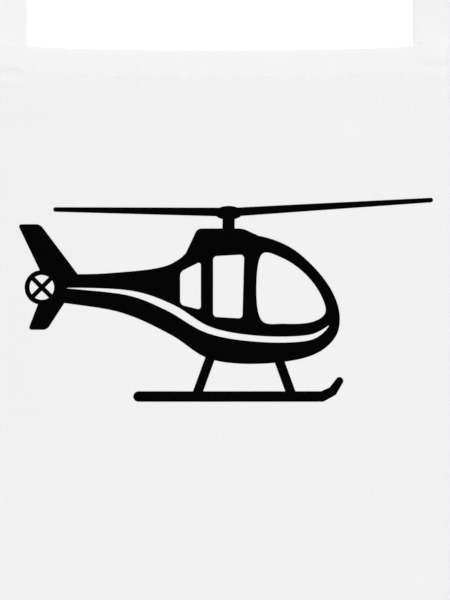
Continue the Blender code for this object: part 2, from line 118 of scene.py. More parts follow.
def feed(material, *wires):
    for name, wire in zip(("Base Color", "Normal", "Roughness"), wires):
        wire.tree.links.new(wire.socket, material.node_tree.nodes["Principled BSDF"].inputs[name])
    return material


def weaveSpot(wire):  # the piece's own UV map, in metres across and along the cloth
    spot = wire.node("ShaderNodeTexCoord", output=2)
    return spot, *spot.parts(0, 1)


def objectSpot(wire):
    return wire.node("ShaderNodeTexCoord", output=3)


twill = {
    "tone": 0.855,
    "strapTone": 0.869,
    "walePitch": 0.00105,  # diagonal ribs
    "yarnPitch": 0.00052,
    "ribHeight": 0.00004,
    # painted shade: the ribs' valleys darker and their crests lighter
    "ribPaintedShade": 0.008,
    "slubHeight": 0.00005,
    "warpSlub": (900, 60, 1),  # noise scales across and along the cloth
    "weftSlub": (45, 800, 1),
    "mottleSize": (55, 40, 1),
    "fuzz": (2600, 2600, 1),
    "mottle": (0.012, 0.0156),  # what the tone loses, and what its noise adds
    "slubShade": 0.25,
    "tint": (1, 1, 0.998),
    "weave": (0.7, 0.3, 0.35),  # shares of rib, yarn and fuzz in the relief
    "bump": (0.55, 1.0),
    "roughness": (0.86, 0.1),
    "hemLift": 0.017,
    "hemEdge": 0.0014,
    "hems": ((0.0145, -1), (0.8310, 1)),
    "rim": (0.0132, 0.0006, 0.075),  # painted sheen: a strap's edge is painted paler, a highlight for the light it catches: from the middle, over, by
}


def makeTwill(name, tone, lean, hems=(), rim=(0.0, 1.0, 0.0)):
    material, wire = newMaterial(name, {
        "Metallic": 0.0, "Sheen Weight": 0.12, "Sheen Roughness": 0.6, "Specular IOR Level": 0.2,
    })
    spot, across, along = weaveSpot(wire)
    diagonal = across * cos(lean) + along * sin(lean)
    rib = (diagonal / twill["walePitch"]).wave()
    yarn = (along / twill["yarnPitch"]).wave()
    slub = spot.noise(twill["warpSlub"]) + spot.noise(twill["weftSlub"])
    mottle = spot.noise(twill["mottleSize"], 3.0)
    fuzz = spot.noise(twill["fuzz"])
    ribShare, yarnShare, fuzzShare = twill["weave"]
    weave = rib * ribShare + yarn * yarnShare + fuzz * fuzzShare
    height = weave * twill["ribHeight"] + slub * twill["slubHeight"]
    loss, gain = twill["mottle"]
    # the rib term is painted shade, darker in the ribs' valleys and lighter on their crests; the mottle and
    # slub tones are the cloth's own
    shade = (mottle + slub * twill["slubShade"]).within(tone - loss, gain) + (rib - 0.5) * twill["ribPaintedShade"]
    for seam, side in hems:  # past a seam the cloth is whiter, because its hem's layers lie behind it
        past = (along - seam) * (side / twill["hemEdge"]) + 0.5
        shade = shade + past.clamped() * twill["hemLift"]
    rimFrom, rimOver, paintedSheenLift = rim
    # painted sheen: a strap's edges are painted paler, standing in for the light they catch
    shade = shade + ((wire.math("ABSOLUTE", across) - rimFrom) / rimOver).clamped() * paintedSheenLift
    rough = fuzz.within(*twill["roughness"])
    return feed(material, shade.grey(twill["tint"]), height.bump(*twill["bump"]), rough)


# In these looks, a tone and a roughness say the least and what each noise adds
thread = {"tone": (0.885, 0.05), "ply": 5200, "roughness": (0.7, 0.2), "bump": (0.5, 0.0002)}


def makeThread():
    material, wire = newMaterial("sewing_thread", {"Sheen Weight": 0.1, "Specular IOR Level": 0.3})
    ply = objectSpot(wire).noise([thread["ply"]] * 3)
    tone, rough = ply.within(*thread["tone"]), ply.within(*thread["roughness"])
    return feed(material, tone.grey(), ply.bump(*thread["bump"]), rough)


ink = {
    "tone": (0.0005, 0.0008),
    "grain": 2400,
    "roughness": (0.78, 0.15),
    "ribHeading": (0.77, 0.64),
    "bump": (0.3, 0.0001),
}


def makeInk():
    material, wire = newMaterial("sign_ink", {"Specular IOR Level": 0.02})
    spot = objectSpot(wire)
    x, z = (part * share for part, share in zip(spot.parts(0, 2), ink["ribHeading"]))
    grain = spot.noise([ink["grain"]] * 3)
    relief = ((x + z) / twill["walePitch"]).wave() * 0.5 + grain
    tone, rough = grain.within(*ink["tone"]), grain.within(*ink["roughness"])
    return feed(material, tone.grey(), relief.bump(*ink["bump"]), rough)


satin = {
    # the last share is painted sheen, lighter on the lines' crests and darker between them
    "tone": (0.84, 0.05, 0.01),
    "tint": (1, 1, 0.995),
    "linePitch": 0.00028,
    "floats": (500, 5200, 1),
    "roughness": (0.38, 0.2),
    "bump": (0.4, 0.00008),
}


def makeSatin():
    material, wire = newMaterial(
        "label_satin", {"Sheen Weight": 0.3, "Sheen Roughness": 0.4, "Specular IOR Level": 0.5}
    )
    spot, _, along = weaveSpot(wire)
    line, floats = (along / satin["linePitch"]).wave(), spot.noise(satin["floats"])
    least, floatTone, linePaintedSheen = satin["tone"]
    # the line term is painted sheen, lighter on the lines' crests and darker between them; the floats' tone
    # is the tape's own
    tone, rough = floats.within(least, floatTone) + line * linePaintedSheen, floats.within(*satin["roughness"])
    return feed(material, tone.grey(satin["tint"]), (line + floats).bump(*satin["bump"]), rough)


nickel = {
    "tone": (0.60, 0.14),
    "tint": (1, 0.985, 0.95),
    "cloud": (260, 260, 260),
    "scratch": (7000, 7000, 400),
    "roughness": (0.14, 0.16, 0.08),
    "bump": (0.25, 0.00004),
}


def makeNickel():
    material, wire = newMaterial("nickel_plate", {"Metallic": 1.0})
    spot = objectSpot(wire)
    cloud, scratch = spot.noise(nickel["cloud"], 4.0), spot.noise(nickel["scratch"])
    least, cloudRough, scratchRough = nickel["roughness"]
    tone, rough = cloud.within(*nickel["tone"]), cloud.within(least, cloudRough) + scratch * scratchRough
    return feed(material, tone.grey(nickel["tint"]), (scratch + cloud).bump(*nickel["bump"]), rough)


clothLook = makeTwill("cotton_twill", twill["tone"], radians(40), twill["hems"])
strapLook = makeTwill("strap_twill", twill["strapTone"], radians(52), (), twill["rim"])
threadLook = makeThread()
inkLook = makeInk()
satinLook = makeSatin()
nickelLook = makeNickel()
print("materials made")


# The apron's pattern and how it hangs, in metres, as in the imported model
cut = {
    "bibHalf": 0.140,
    "bibHeight": 0.300,
    "skirtHalf": 0.350,
    "height": 0.850,
    "armholeEnd": radians(70),
    "thick": 0.0006,
    "topHem": 0.015,
    "bottomHem": 0.020,
    "sideHem": 0.010,
    "edgePoints": 2000,
}
hang = {
    "panelY": -0.0025,
    "strapRise": 0.235,
    "strapSpan": 0.126,
    "strapWidth": 0.028,
    "edgeStep": 0.0026,  # the top edge drops beside the straps and sags between them
    "edgeRamp": (0.0025, 0.0060),
    "edgeSag": 0.0023,
    "sagLeftBelow": 0.4,
    "sagFade": 0.2,
    "wingDroop": 0.020,
    "droopFrom": (0.15, 0.05),
    "foldTop": 0.02,
    "foldAtWaist": 0.84,
    "foldStart": 0.115,
    "foldStartAtHem": 0.045,
    "foldRamp": 0.07,
    "foldWidening": 0.15,
    "foldMeander": 0.08,
    "meanderLength": 0.56,
    "folds": {-1: (0.158, 1.12), 1: (0.176, 1.05)},  # side: wavelength and swing
    "edgeFlat": 0.018,
    "edgeEase": 0.0216,
    "balanceTop": 0.22,
    "step": 0.0025,
}
foldCount = round(cut["skirtHalf"] / hang["step"])


def smooth(low, high, value):
    t = np.clip((value - low) / (high - low), 0, 1)
    return t * t * (3 - 2 * t)


def halfWidth(depth):
    end = cut["armholeEnd"]
    turn = np.arcsin(np.clip(depth / cut["bibHeight"], 0, 1) * sin(end))
    return cut["bibHalf"] + (cut["skirtHalf"] - cut["bibHalf"]) * (1 - np.cos(turn)) / (1 - cos(end))


def unit(vectors):
    return vectors / np.maximum(np.linalg.norm(vectors, axis=1, keepdims=True), 1e-12)


def runLength(points):  # how far along the line each point is
    return np.concatenate([[0], np.cumsum(np.linalg.norm(np.diff(points, axis=0), axis=1))])


armholeTurns = np.linspace(0, cut["armholeEnd"], cut["edgePoints"])
armholeDepths = cut["bibHeight"] * np.sin(armholeTurns) / sin(cut["armholeEnd"])
armhole = np.stack([halfWidth(armholeDepths), armholeDepths], axis=1)
armholeRun = runLength(armhole)
armholeTree = kdtree.KDTree(len(armhole))
for index, spot in enumerate(armhole):
    armholeTree.insert((*spot, 0), index)
armholeTree.balance()


def insetLine(inset):  # the armhole's edge moved in, down to where it meets the side's
    heading = unit(np.gradient(armhole, axis=0))
    line = armhole + inset * np.stack([-heading[:, 1], heading[:, 0]], axis=1)
    return line[line[:, 0] < cut["skirtHalf"] - inset]


def insetWidth(inset, depth):  # half the cloth's width between lines that far in from its edges
    line = insetLine(inset)
    return np.interp(depth, line[:, 1], line[:, 0], right=cut["skirtHalf"] - inset)


def fromSideEdge(u, depth):  # how far in from the armhole's or the side's edge, and how far along it
    s = np.abs(u)
    found = np.array([armholeTree.find((a, b, 0))[1:] for a, b in zip(s, depth)])
    run, nearest = armholeRun[found[:, 0].astype(int)], found[:, 1]
    beside = (depth > cut["bibHeight"]) & (cut["skirtHalf"] - s < nearest)
    down = armholeRun[-1] + depth - cut["bibHeight"]
    return np.where(beside, cut["skirtHalf"] - s, nearest), np.where(beside, down, run)


def levelLine(side, depth):  # the cloth seen from above, one line of points for each depth
    wave, swing = hang["folds"][side]
    s = (np.arange(foldCount + 1)[None, :] + 0.5) * hang["step"]
    lower = smooth(cut["bibHeight"], cut["height"], depth)[:, None]
    start = hang["foldStart"] + (hang["foldStartAtHem"] - hang["foldStart"]) * lower
    rise = smooth(start, start + hang["foldRamp"], s)
    edge = cut["skirtHalf"] - hang["edgeFlat"]
    fall = 1 - smooth(edge - hang["edgeEase"], edge, s)
    grown = smooth(hang["foldTop"], cut["bibHeight"], depth)[:, None]
    grown = grown * (hang["foldAtWaist"] + (1 - hang["foldAtWaist"]) * lower)
    bends = np.sin(2 * pi * depth / hang["meanderLength"] + side)[:, None]
    meander = hang["foldMeander"] * lower * bends
    turns = (s - hang["foldStart"]) / (wave * (1 + hang["foldWidening"] * lower)) + meander
    heading = -swing * grown * rise * fall * np.cos(2 * pi * turns)
    steps = np.stack([np.cos(heading), np.sin(heading)]) * hang["step"]
    return np.pad(np.cumsum(steps, axis=2), ((0, 0), (0, 0), (1, 0)))


def clothPoint(u, depth):  # where the cloth's point u across and depth down hangs
    u, depth = (a.ravel() for a in np.broadcast_arrays(np.asarray(u, float), np.asarray(depth, float)))
    rows, row = np.unique(depth, return_inverse=True)
    s = np.abs(u)
    i = np.minimum((s / hang["step"]).astype(int), foldCount)
    part = s / hang["step"] - i
    x, y, mean = np.zeros(len(u)), np.zeros(len(u)), 0
    for side in (-1, 1):
        lineX, lineY = levelLine(side, rows)
        mean = mean + lineY.mean(axis=1) / 2
        here = (u > 0) == (side > 0)
        for line, found in ((lineX, x), (lineY, y)):
            found[here] = (line[row, i] * (1 - part) + line[row, i + 1] * part)[here]
    back = (-mean * smooth(hang["balanceTop"], cut["height"], rows))[row]
    inner = hang["strapSpan"] - hang["strapWidth"] / 2
    held = 1 - (1 - hang["sagLeftBelow"]) * smooth(0, hang["sagFade"], depth)
    pulled = smooth(inner - hang["edgeRamp"][0], inner + hang["edgeRamp"][1], s)
    sag = hang["edgeStep"] * (1 - pulled) + hang["edgeSag"] * (1 - np.minimum(s / inner, 1) ** 3)
    outwards, downwards = hang["droopFrom"]
    droop = smooth(outwards, cut["skirtHalf"], s) * smooth(downwards, cut["bibHeight"], depth)
    z = -hang["strapRise"] - depth - sag * held - hang["wingDroop"] * droop
    return np.stack([np.sign(u) * x, hang["panelY"] + y + back, z], axis=1)


def clothNormal(u, depth):  # out of the cloth's back
    reach = 0.0004
    across = clothPoint(u + reach, depth) - clothPoint(u - reach, depth)
    down = clothPoint(u, depth + reach) - clothPoint(u, depth - reach)
    return unit(np.cross(across, down))


# Small shapes of the cloth's surface: seam dips and puckers, soft hollows and drag lines
seams = {
    "topSeam": 0.0142,
    "sideSeam": 0.0088,
    "bottomSeam": 0.0188,
    "short": 0.002,  # the stitches stop before a crossing seam
    "dip": 0.00016,
    "dipReach": 0.0011,
    # height and pitch along the top, side and bottom seams
    "puckers": ((0.00006, 0.0095), (0.00020, 0.0130), (0.00040, 0.0240)),
    "puckerReach": 0.010,
    "puckerDrift": (6.6, 0.05),  # how far the puckers' pitch strays, and over what length
    "points": (141, 281, 200),  # along the top, the bottom and each side
}
surface = {
    "softWave": 0.0009,
    "softWaveSize": 0.085,
    "drift": 0.0030,  # broad uneven folds, which grow between these depths
    "driftSize": (0.055, 0.21),
    "driftFrom": (0.24, 0.55),
    # across, depth, half width, half height, dip
    "hollows": (
        (-0.106, 0.046, 0.024, 0.011, 0.0009),
        (0.1155, 0.035, 0.006, 0.014, 0.0006),
        (0.080, 0.041, 0.008, 0.007, 0.0005),
        (-0.175, 0.200, 0.055, 0.160, 0.0085),
        (0.180, 0.225, 0.050, 0.120, 0.0030),
    ),
    "tuckedIn": (  # the same, where the straps' ends are sewn on
        (-0.1200, 0.0174, 0.0065, 0.0018, 0.0006),
        (0.1225, 0.0134, 0.0105, 0.0014, 0.0006),
    ),
    # pulled by the ties and the armholes: from across, depth to across, depth, half width, height
    "drags": (
        (-0.340, 0.335, -0.225, 0.395, 0.0100, 0.0030),
        (-0.338, 0.350, -0.262, 0.520, 0.0115, 0.0026),
        (-0.325, 0.300, -0.170, 0.300, 0.0120, 0.0022),
        (0.342, 0.338, 0.240, 0.440, 0.0105, 0.0030),
        (0.335, 0.345, 0.200, 0.372, 0.0090, 0.0022),
        (0.330, 0.365, 0.290, 0.560, 0.0120, 0.0024),
        (-0.150, 0.470, -0.205, 0.790, 0.0170, 0.0030),
        (0.095, 0.560, 0.130, 0.835, 0.0160, 0.0024),
        (0.235, 0.520, 0.215, 0.800, 0.0140, -0.0026),
        (-0.055, 0.640, -0.030, 0.850, 0.0180, 0.0020),
    ),
    "dragWidth": (0.7, 0.9),  # its least and what the widening adds
    "dragEnds": (0.3, 0.45),  # along it, where it has risen and where it starts to fall
    # the straps' feet and the tie corners stay smooth: across, depth, half width, half height
    "still": ((0.126, 0.0, 0.022, 0.026), (0.340, 0.318, 0.030, 0.026)),
    "stillEase": (0.7, 2.2),
}


def roughly(u, depth, size, seed):
    across, down = np.broadcast_to(size, 2)
    return np.array([noise.noise(Vector((a / across, b / down, seed))) for a, b in zip(u, depth)])


def ridge(u, depth, line):  # a long soft ridge that fades out at both ends
    fromU, fromDepth, toU, toDepth, half, height = line
    alongU, alongDepth = toU - fromU, toDepth - fromDepth
    t = ((u - fromU) * alongU + (depth - fromDepth) * alongDepth) / (alongU ** 2 + alongDepth ** 2)
    t = np.clip(t, 0, 1)
    off = np.hypot(u - fromU - t * alongU, depth - fromDepth - t * alongDepth)
    (narrow, widening), (risen, falls) = surface["dragWidth"], surface["dragEnds"]
    ends = smooth(0, risen, t) * (1 - smooth(falls, 1, t))
    return height * ends * np.exp(-(off / half / (narrow + widening * t)) ** 2)


def dents(u, depth, places):
    return sum(
        dip * np.exp(-((u - across) / halfAcross) ** 2 - ((depth - down) / halfDown) ** 2)
        for across, down, halfAcross, halfDown, dip in places
    )


def relief(u, depth):  # towards the front
    inFromSide, downSide = fromSideEdge(u, depth)
    fromSeams = (
        (depth - seams["topSeam"], u),
        (inFromSide - seams["sideSeam"], downSide),
        (cut["height"] - depth - seams["bottomSeam"], u),
    )
    height = surface["softWave"] * roughly(u, depth, surface["softWaveSize"], 3.7)
    grown = surface["drift"] * roughly(u, depth, surface["driftSize"], 5.3)
    height += grown * smooth(*surface["driftFrom"], depth) - dents(u, depth, surface["hollows"])
    for line in surface["drags"]:
        height += ridge(u, depth, line)
    for across, down, halfAcross, halfDown in surface["still"]:
        away = np.hypot((np.abs(u) - across) / halfAcross, (depth - down) / halfDown)
        height *= smooth(*surface["stillEase"], away)
    strays, over = seams["puckerDrift"]
    phase = strays * roughly(u, depth, over, 9.1)
    for (off, along), (pucker, pitch) in zip(fromSeams, seams["puckers"]):
        fade = np.exp(-(off / seams["puckerReach"]) ** 2)
        height -= seams["dip"] * np.exp(-(off / seams["dipReach"]) ** 2)
        height += pucker * fade * np.cos(2 * pi * along / pitch + phase)
    return height - dents(u, depth, surface["tuckedIn"])


def clothSurface(u, depth, behind):  # a point that far behind the panel's middle, with its small shapes
    return clothPoint(u, depth) + clothNormal(u, depth) * (behind - relief(u, depth))[:, None]


# Mesh helpers
def finish(piece, body, look):
    piece.data.materials.clear()
    piece.data.materials.append(look)
    if body:
        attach(piece, body)
    return piece


def placed(name, data):
    thing = bpy.data.objects.new(name, data)
    bpy.context.scene.collection.objects.link(thing)
    return thing


def newPiece(name, bm, smoothAngle=50):
    mesh = bpy.data.meshes.new(name)
    bm.to_mesh(mesh)
    bm.free()
    mesh.shade_smooth()
    if smoothAngle < 180:
        mesh.set_sharp_from_angle(angle=radians(smoothAngle))
    return placed(name, mesh)


def gridSheet(points, uvs=None, bm=None):  # a grid bent to points[column][row], with its UV map in metres
    columns, rows = points.shape[0] - 1, points.shape[1] - 1
    bm = bm or bmesh.new()
    verts = bmesh.ops.create_grid(bm, x_segments=columns, y_segments=rows, size=0.5)["verts"]
    places = [(round((v.co.x + 0.5) * columns), round((v.co.y + 0.5) * rows)) for v in verts]
    for vert, place in zip(verts, places):
        vert.co = points[place]
    if uvs is not None:
        layer = bm.loops.layers.uv.new("weave")
        for vert, place in zip(verts, places):
            for loop in vert.link_loops:
                loop[layer].uv = uvs[place]
    return bm


def closedSheet(points, uvs=None, bm=None):  # the same, joined where its sides meet and filled at its ends
    bm = gridSheet(points, uvs, bm)
    bmesh.ops.remove_doubles(bm, verts=bm.verts, dist=0.000005)
    bmesh.ops.holes_fill(bm, edges=[e for e in bm.edges if e.is_boundary], sides=0)
    bmesh.ops.recalc_face_normals(bm, faces=bm.faces)
    return bm


def band(name, middle, out, half, uvs):  # closed strap: middle[column][row], facing out, half[column]
    front, back = middle + out * half[:, None, None], middle - out * half[:, None, None]
    around = np.concatenate([front, back[-2::-1]])
    return newPiece(name, closedSheet(around, np.concatenate([uvs, uvs[-2::-1]])), 70)


def stationBand(name, stations, places, half):  # stations are (middle, across, out) down the strap
    middle, across, out = (np.array([s[k] for s in stations], float) for k in range(3))
    points = middle[None] + across[None] * places[:, None, None]
    uvs = np.stack(np.broadcast_arrays(places[:, None], runLength(middle)[None]), axis=2)
    return band(name, points, np.broadcast_to(out, points.shape), half, uvs), middle, across, out


stitch = {
    "pitch": 0.0030, "length": 0.0026, "width": 0.00042, "height": 0.00025, "sides": 6, "rings": 5,
    "reach": 0.001,  # each lies along its line between points that far ahead and behind
}


def stitchPlaces(lines, pitch):  # for each stitch its middle and its width, height and length as axes
    length = stitch["length"] * pitch / stitch["pitch"]
    for points, outs in lines:
        along = runLength(points)
        count = int(along[-1] / pitch)
        for k in range(count):
            at = along[-1] * (k + 0.5) / count
            start, end, out = (
                np.array([np.interp(at + beside, along, numbers) for numbers in line.T])
                for line, beside in ((points, -stitch["reach"]), (points, stitch["reach"]), (outs, 0))
            )
            run = (end - start) / np.linalg.norm(end - start)
            out -= run * (out @ run)
            out /= np.linalg.norm(out)
            axes = np.cross(out, run) * stitch["width"], out * stitch["height"], run * length
            yield (start + end) / 2, np.array(axes)


def stitches(name, lines, body, pitch=stitch["pitch"]):  # lines are (points, directions out)
    bm = bmesh.new()
    bmesh.ops.create_uvsphere(bm, u_segments=stitch["sides"], v_segments=stitch["rings"], radius=0.5)
    single = bpy.data.meshes.new("single_stitch")
    bm.to_mesh(single)
    bm.clear()
    shape = np.array([v.co for v in single.vertices])
    spots = []
    for middle, axes in stitchPlaces(lines, pitch):
        bm.from_mesh(single)
        spots.extend(middle + shape @ axes)
    bpy.data.meshes.remove(single)
    for vert, spot in zip(bm.verts, spots):
        vert.co = spot
    return finish(newPiece(name, bm, 180), body, threadLook)


# The cloth: one sheet whose edges are folded to the back as hems
fabric = {
    "columns": 118,
    "band": 0.014,  # beside each edge the columns keep their distance from it
    "insets": (0, 0.002, 0.004, 0.006, 0.0074, 0.0082, 0.0088, 0.0094, 0.0104),
    "rows": ((0.0, 14), (0.030, 62), (0.240, 50), (0.316, 136), (0.820, 12)),  # from depth, rows
    "roll": 0.00065,
    "turnIn": 0.00035,
    "cornerShare": 0.1,  # on a turned flap the side hem narrows to this
    "cornerRoll": 0.5,  # and beside it its roll flattens by this, over the ease
    "cornerEase": (0.001, 0.005),
    "steps": (5, 4, 4),  # of the roll, the flap and the turned-in edge
    "stitchLift": (0.00004, 0.00005),
}


def foldSteps():  # past the edge: roll angle, share of the flap, turned-in angle
    steps = [[0, 0, 0]]
    for k, (count, full) in enumerate(zip(fabric["steps"], (pi, 1, pi))):
        for part in np.arange(1, count + 1) / count:
            steps.append([*steps[-1][:k], full * part, *steps[-1][k + 1:]])
    return np.array(steps[1:])


def folded(steps, width, roll, turnIn):  # reach past the edge, and distance behind the panel
    reach = roll * np.sin(steps[..., 0]) - width * steps[..., 1] - turnIn * np.sin(steps[..., 2])
    behind = roll * (1 - np.cos(steps[..., 0])) - turnIn * (1 - np.cos(steps[..., 2]))
    return reach, behind


def makeCloth():
    fold, insets, inner = foldSteps(), fabric["insets"], fabric["columns"] + 1
    outer = len(insets) + len(fold)
    share = np.pad(np.linspace(-1, 1, inner), outer, mode="edge")
    edge = np.pad(np.zeros(inner), outer, constant_values=(-1, 1))[:, None]
    inset = np.pad([*insets, *[fabric["band"]] * inner, *insets[::-1]], len(fold))[:, None]
    starts, counts = zip(*fabric["rows"], (cut["height"], 1))
    parts = [np.linspace(a, b, n + 1)[:-1] for a, b, n in zip(starts, starts[1:], counts)]
    flat = np.append(np.concatenate(parts), cut["height"])
    share, down = np.meshgrid(share, np.pad(flat, len(fold), mode="edge"), indexing="ij")
    counts = len(inset) - 2 * len(fold), len(flat)
    acrossFold, downFold = (np.concatenate([fold[::-1], np.zeros((n, 3)), fold]) for n in counts)
    acrossFold, downFold = acrossFold[:, None], downFold[None]
    top = down < cut["height"] / 2
    hem = np.where(top, cut["topHem"], cut["bottomHem"])
    reachDown, behindDown = folded(downFold, hem, fabric["roll"], fabric["turnIn"])
    depth = np.where(top, -reachDown, cut["height"] + reachDown)
    depth = np.where(downFold[..., 0] > 0, depth, down)
    onFlap = downFold[..., 0] > pi / 2
    fromEnd = np.where(top, depth - cut["topHem"], cut["height"] - cut["bottomHem"] - depth)
    corner = 1 - smooth(*fabric["cornerEase"], fromEnd)
    width = cut["sideHem"] * np.where(onFlap, fabric["cornerShare"], 1)
    roll = fabric["roll"] * (1 - fabric["cornerRoll"] * corner)
    reach, behind = folded(acrossFold, width, roll, fabric["turnIn"] * (1 - corner))
    behind = behind * np.where(onFlap, -1, 1)
    clear = np.clip(depth, 0, cut["height"])
    # the hem is wider along the level line than square to the edge
    stretch = (halfWidth(clear) - insetWidth(cut["sideHem"], clear)) / cut["sideHem"]
    u = np.array([insetWidth(at[0], line) for at, line in zip(inset, clear)])
    u = u * np.where(edge == 0, share, edge)
    outward = u - edge * acrossFold[..., 1] * cut["sideHem"]
    u = u + edge * reach * stretch * (acrossFold[..., 0] > 0)
    points = clothSurface(u.ravel(), depth.ravel(), (behindDown + behind).ravel()).reshape(*u.shape, 3)
    uvs = np.stack([outward, down + cut["bottomHem"] * downFold[..., 1]], axis=2)
    piece = newPiece("apron_cloth", gridSheet(points, uvs), 180)
    wall = piece.modifiers.new("thickness", "SOLIDIFY")
    wall.thickness = cut["thick"]
    wall.offset = 0
    return finish(piece, "apron", clothLook)


cloth = makeCloth()
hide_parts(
    "apron_panel", "top_hem", "bottom_hem",
    "armhole_hem_left", "armhole_hem_right", "side_hem_left", "side_hem_right",
)
print("cloth made")


def seamPaths():  # hem seams as (u, depth) lines
    short, (onTop, onBottom, onSide) = seams["short"], seams["points"]
    across = np.linspace(-cut["bibHalf"] - short / 2, cut["bibHalf"] + short / 2, onTop)
    yield across, np.full(len(across), seams["topSeam"])
    across = np.linspace(short - cut["skirtHalf"], cut["skirtHalf"] - short, onBottom)
    yield across, np.full(len(across), cut["height"] - seams["bottomSeam"])
    curve = insetLine(seams["sideSeam"])[::8]
    curve = curve[curve[:, 1] > short]
    down = np.linspace(curve[-1, 1] + short, cut["height"] - short, onSide)
    across = np.append(curve[:, 0], np.full(len(down), cut["skirtHalf"] - seams["sideSeam"]))
    for side in (-1, 1):
        yield side * across, np.append(curve[:, 1], down)


def surfaceLine(u, depth, behind):
    return clothSurface(u, depth, np.full(len(u), behind)), clothNormal(u, depth) * copysign(1, behind)


front = -cut["thick"] / 2 - fabric["stitchLift"][0]
back = 2 * fabric["roll"] + cut["thick"] / 2 + fabric["stitchLift"][1]
hemStitchesFront, hemStitchesBack = (
    stitches(name, [surfaceLine(*path, behind) for path in seamPaths()], "apron")
    for name, behind in (("hem_stitches_front", front), ("hem_stitches_back", back))
)


def boxLines(left, right, top, bottom):  # a sewn box with its cross, as corner pairs
    a, b, c, d = (left, top), (right, top), (right, bottom), (left, bottom)
    return (a, b), (b, c), (c, d), (d, a), (a, c), (d, b)


def linesOnCloth(corners, count=12):
    return [
        surfaceLine(np.linspace(u0, u1, count), np.linspace(depth0, depth1, count), front)
        for (u0, depth0), (u1, depth1) in corners
    ]


# Dense bars of stitches hold the straps, from and to (across, depth), and a box with a cross holds each tie
tack = {
    "pitch": 0.00115,
    "straps": (((-0.1325, 0.0174), (-0.1145, 0.0174)), ((0.1140, 0.0136), (0.1345, 0.0136))),
    "tieBox": (0.3365, 0.3470, 0.3085, 0.3275),  # inner, outer, top, bottom
}
strapTacks = stitches("strap_tacks", linesOnCloth(tack["straps"], 24), "apron", tack["pitch"])
inner, outer, top, bottom = tack["tieBox"]
tieCorners = [ends for side in (-1, 1) for ends in boxLines(side * inner, side * outer, top, bottom)]
tieBoxes = stitches("tie_boxes_front", linesOnCloth(tieCorners), "apron")
print("hem stitches made")


# The printed sign: flat shapes in millimetres from its middle, joined and cut in this order, then laid on
sign = {
    "middle": (0.0029, 0.1453),
    "film": 0.00014,
    "lift": 0.00003,
    "cell": 0.006,
    "corner": 2.2,
    "shapes": (
        ("body", "UNION", "curve", (
            (-107, 13), (-70, 15), (-40, 18), (-27, 23), (-17, 32), (-2, 37), (18, 37), (36, 31), (50, 20),
            (61, 6), (66, -8), (64, -21), (53, -31), (34, -36), (8, -37), (-12, -33), (-32, -20), (-62, -7),
            (-107, 1),
        )),
        ("fin", "UNION", "corners", ((-101, 4), (-120, 43.5), (-107, 43.5), (-84, 13))),
        ("lowFin", "UNION", "corners", ((-104, 8), (-114, -17.5), (-103, -17.5), (-89, 4))),
        ("tailDisc", "UNION", "oval", (-106, 7, 10, 10)),
        ("tailHole", "DIFFERENCE", "oval", (-106, 7, 7.2, 7.2)),
        ("tailBlades", "UNION", "bar", (-111, 12, 2.6, -101, 2, 2.6)),  # from x, z, width to x, z, width
        ("tailBlades", "UNION", "bar", (-111, 2, 2.6, -101, 12, 2.6)),
        ("cowling", "UNION", "corners", ((-24, 24), (-16, 41), (10, 41), (30, 32))),
        ("mast", "UNION", "bar", (2, 36, 7, 2, 50, 7)),
        ("hub", "UNION", "oval", (2, 50, 8, 4)),
        ("rearBlade", "UNION", "bar", (-98, 52, 2.6, -2, 50.5, 5)),
        ("frontBlade", "UNION", "bar", (6, 50.5, 5, 118.7, 57.4, 2.6)),
        ("rearStrut", "UNION", "bar", (-8, -32, 5.5, -16, -54, 5.5)),
        ("frontStrut", "UNION", "bar", (30, -32, 5.5, 38, -54, 5.5)),
        ("skid", "UNION", "bar", (-50, -56, 6, 56, -56, 6)),
        ("skidBend", "UNION", "bar", (56, -56, 6, 62, -53, 5.4)),
        ("skidNose", "UNION", "bar", (62, -53, 5.4, 66, -47, 4.4)),
        ("screen", "DIFFERENCE", "curve", (
            (21, 26), (33, 24), (45, 16), (54, 5), (58, -7), (50, -13), (34, -14), (21, -12), (18, 6),
        )),
        ("doorWindow", "DIFFERENCE", "corners", ((-7, 25), (11, 26), (10, -11), (-7, -10))),
        ("rearWindow", "DIFFERENCE", "corners", ((-26, 16), (-14, 22), (-14, -6), (-26, -3))),
        ("stripe", "DIFFERENCE", "curve", (
            (-92, 6.6), (-55, 5.2), (-30, -3), (-8, -16), (20, -21), (48, -20.5), (60, -15), (49, -23.5),
            (20, -24.5), (-10, -19.5), (-34, -6.2), (-57, 2.6),
        )),
    ),
}
mm = 0.001


def curvePoints(corners, count=8):  # a smooth closed line through the corners
    points = []
    for i in range(len(corners)):
        a, b, c, d = (Vector(corners[(i + k) % len(corners)]) for k in (-1, 0, 1, 2))
        for t in np.arange(count) / count:
            bend = 2 * a - 5 * b + 4 * c - d + (3 * b - a - 3 * c + d) * t
            points.append(b + (c - a + bend * t) * t / 2)
    return points


def barPoints(x0, z0, width0, x1, z1, width1, count=16):  # a tapering bar with round ends
    heading = atan2(z1 - z0, x1 - x0)
    turns = [heading + pi * (k / count - 0.5) for k in range(count + 1)]
    far = [(x1 + width1 / 2 * cos(turn), z1 + width1 / 2 * sin(turn)) for turn in turns]
    return far + [(x0 - width0 / 2 * cos(turn), z0 - width0 / 2 * sin(turn)) for turn in turns]


